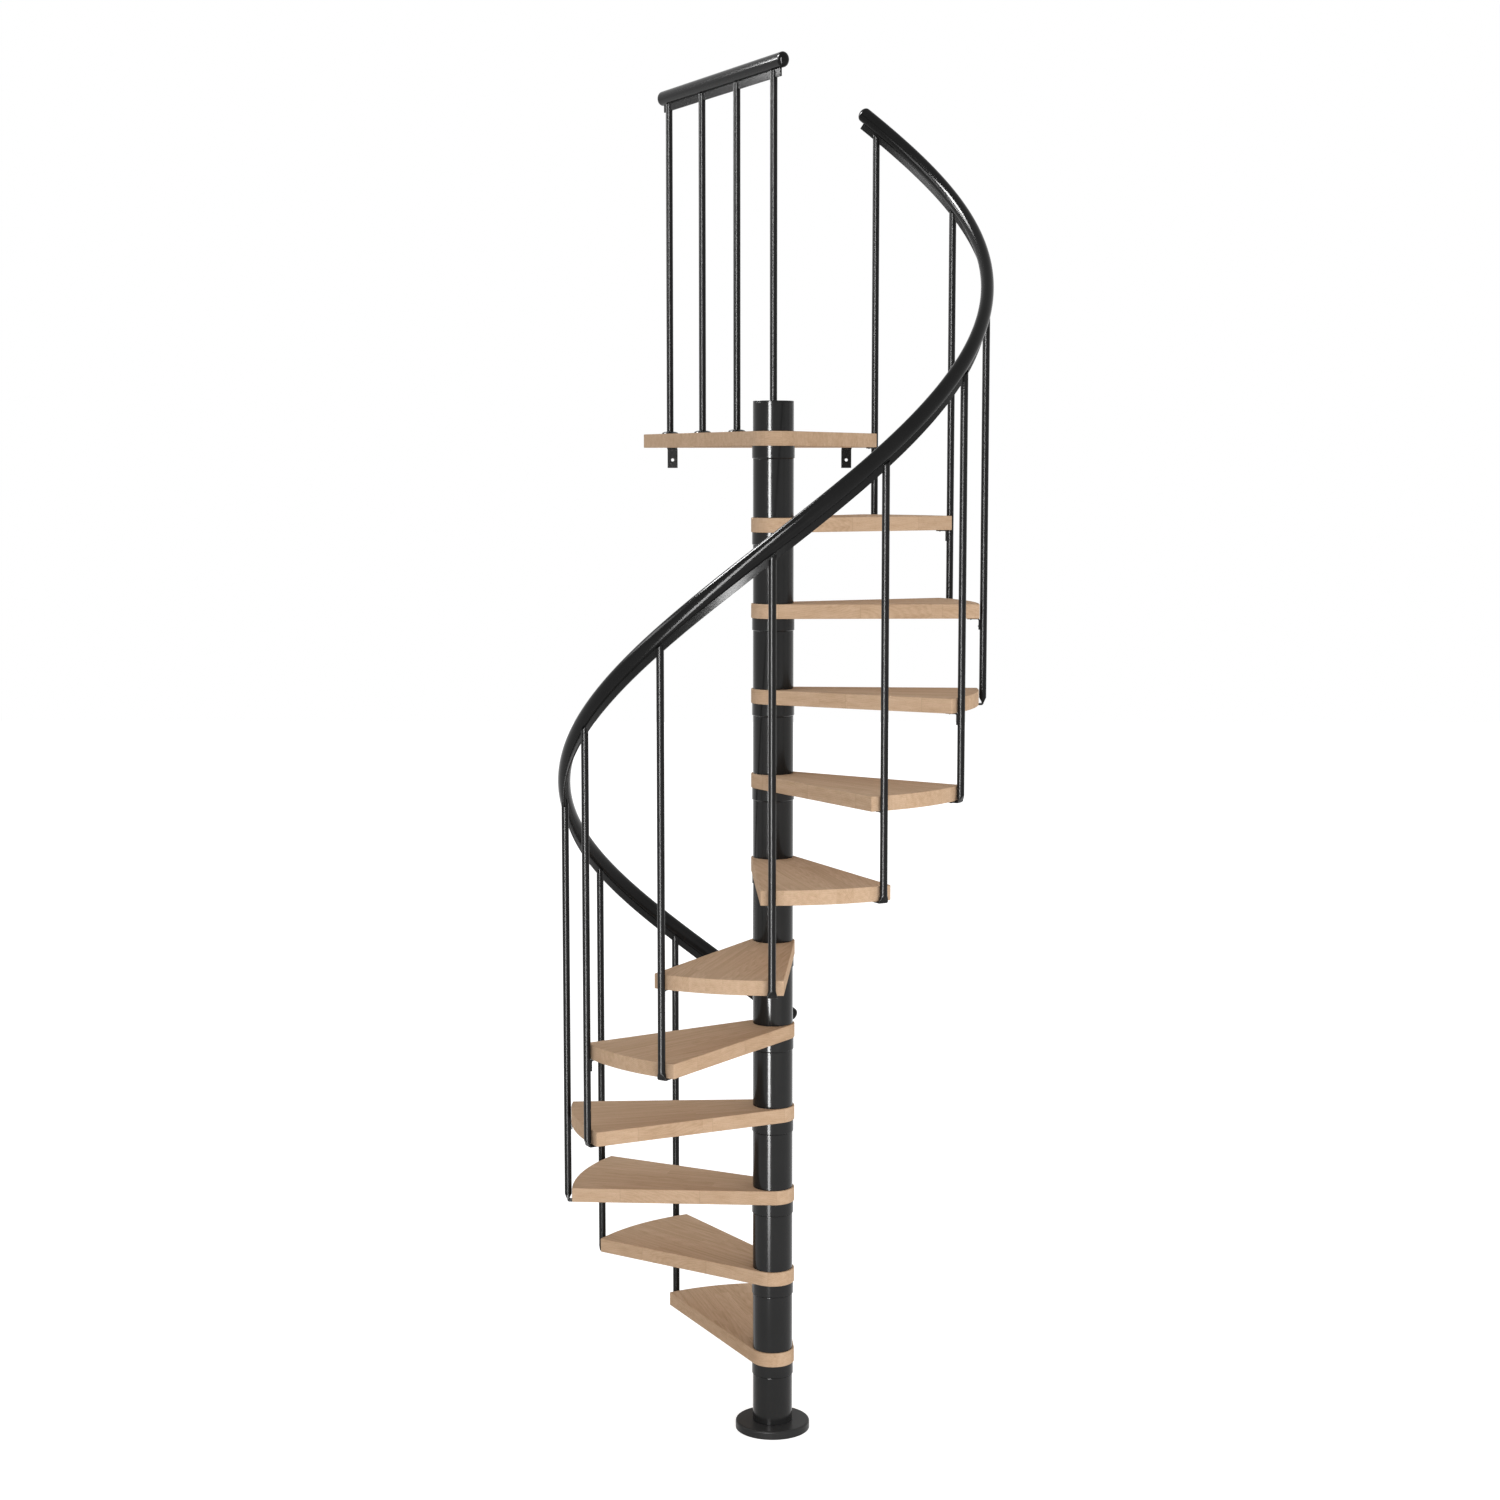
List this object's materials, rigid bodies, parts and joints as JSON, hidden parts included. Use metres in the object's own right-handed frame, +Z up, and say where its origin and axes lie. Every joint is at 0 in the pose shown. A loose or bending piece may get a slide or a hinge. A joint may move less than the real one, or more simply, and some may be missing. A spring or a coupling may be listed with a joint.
{
  "type": "spiral staircase",
  "caption": "Modular spiral staircase with a stacked steel column, wooden wedge treads and landing, slim balusters and an oval helical handrail.",
  "frame": {"origin": "centre of the floor flange's underside, on the column's axis", "axes": "+Z up along the column; +Y towards the landing's exit edge; the stair climbs anticlockwise seen from above"},
  "size_m": [1.1906, 1.28, 3.825],
  "materials": {
    "powder_coat": "satin black powder coat",
    "oak": "edge-glued oak staves under matt lacquer",
    "rail_sleeve": "satin black sleeve"
  },
  "bodies": {
    "root": {"base_flange": "powder_coat", "spacer_tubes": "powder_coat", "collar_rings": "powder_coat", "column_cap": "powder_coat", "tread_1": "oak", "tread_2": "oak", "tread_3": "oak", "tread_4": "oak", "tread_5": "oak", "tread_6": "oak", "tread_7": "oak", "tread_8": "oak", "tread_9": "oak", "tread_10": "oak", "tread_11": "oak", "landing": "oak", "landing_brackets": "powder_coat", "baluster_1": "powder_coat", "baluster_2": "powder_coat", "baluster_3": "powder_coat", "baluster_4": "powder_coat", "baluster_5": "powder_coat", "baluster_6": "powder_coat", "baluster_7": "powder_coat", "baluster_8": "powder_coat", "baluster_9": "powder_coat", "baluster_10": "powder_coat", "baluster_11": "powder_coat", "tread_brackets": "powder_coat", "handrail": "rail_sleeve", "handrail_strip": "powder_coat", "rosettes": "powder_coat", "landing_baluster_1": "powder_coat", "landing_baluster_2": "powder_coat", "landing_baluster_3": "powder_coat", "column_baluster": "powder_coat", "landing_rail": "rail_sleeve", "landing_rail_strip": "powder_coat"}
  },
  "joints": []
}
